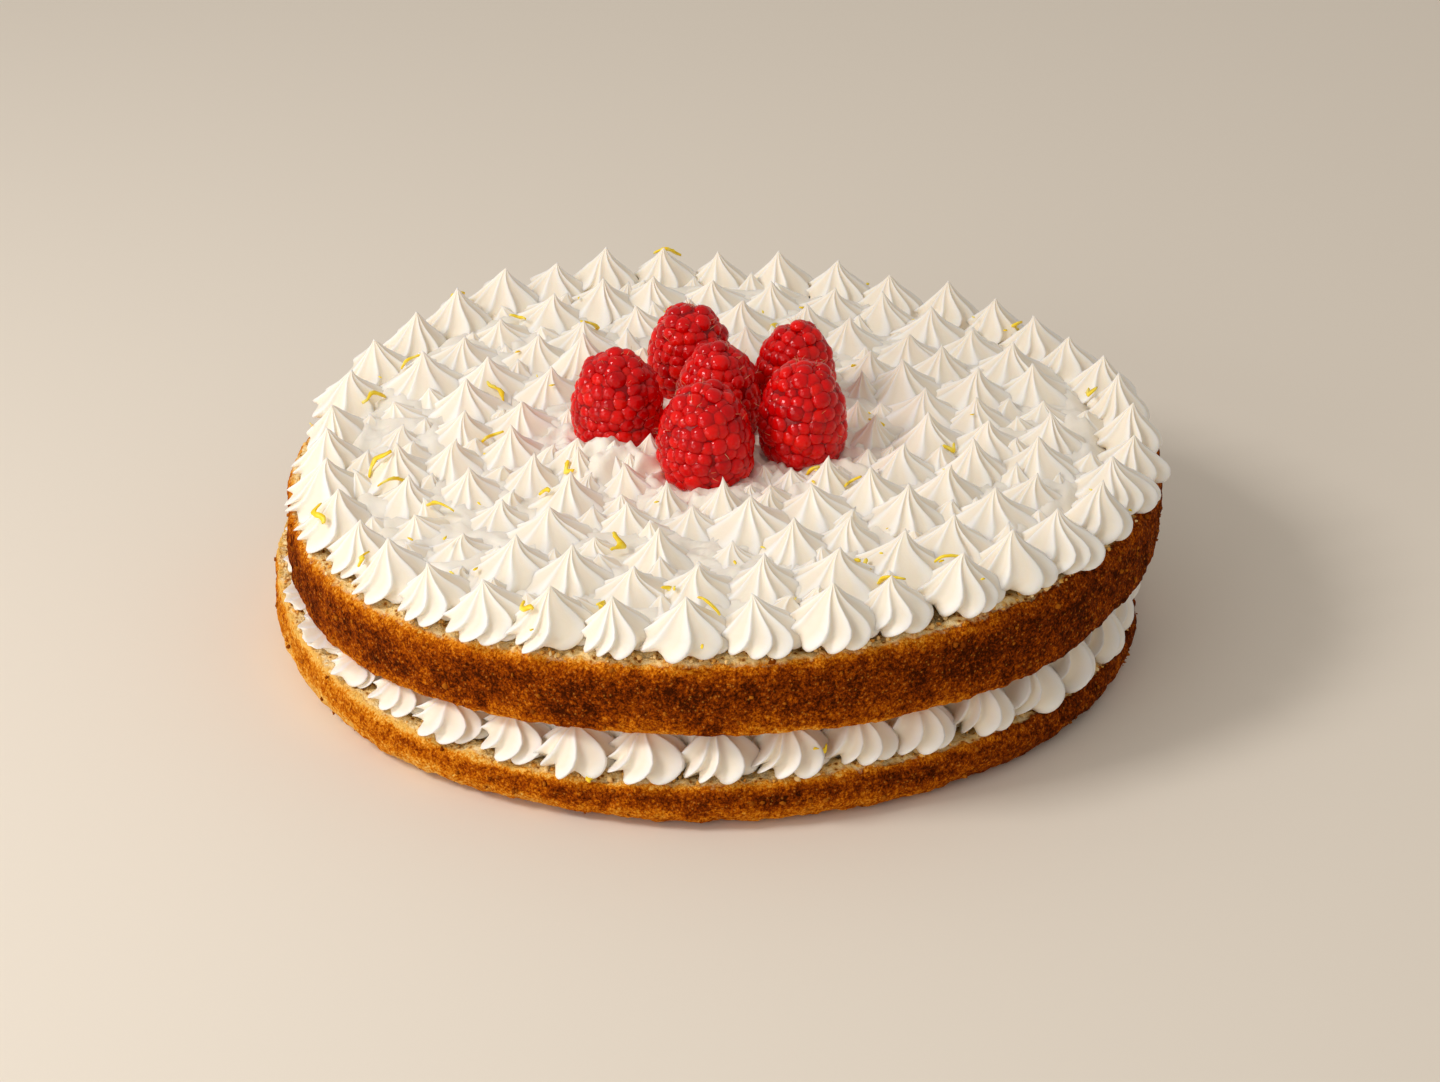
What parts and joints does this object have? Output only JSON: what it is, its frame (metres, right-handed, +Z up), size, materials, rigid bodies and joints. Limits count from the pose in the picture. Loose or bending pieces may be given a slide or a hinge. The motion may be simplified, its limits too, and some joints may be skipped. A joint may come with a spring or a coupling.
{
  "type": "lemon sandwich cake",
  "caption": "Round lemon sandwich cake: two sponge layers with piped cream between and on top, raspberries standing in the middle and lemon zest on the cream.",
  "frame": {"origin": "under the middle of the cake's bounding box, on the surface that it stands on", "axes": "+Z up; the pictured front faces -Y; +X is to the right seen from the front"},
  "size_m": [0.2138, 0.2071, 0.072],
  "materials": {
    "sponge": "baked sponge, matt and porous, golden-brown crust",
    "cream": "piped cream, smooth satin",
    "raspberry": "moist fruit skin, soft gloss",
    "zest": "grated lemon peel, slightly moist"
  },
  "bodies": {
    "root": {"sponge_lower": "sponge", "sponge_upper": "sponge", "cream_filling": "cream", "cream_topping": "cream", "raspberry_back": "raspberry", "raspberry_front": "raspberry", "raspberry_front_right": "raspberry", "raspberry_left": "raspberry", "raspberry_middle": "raspberry", "raspberry_right": "raspberry"}
  },
  "joints": []
}
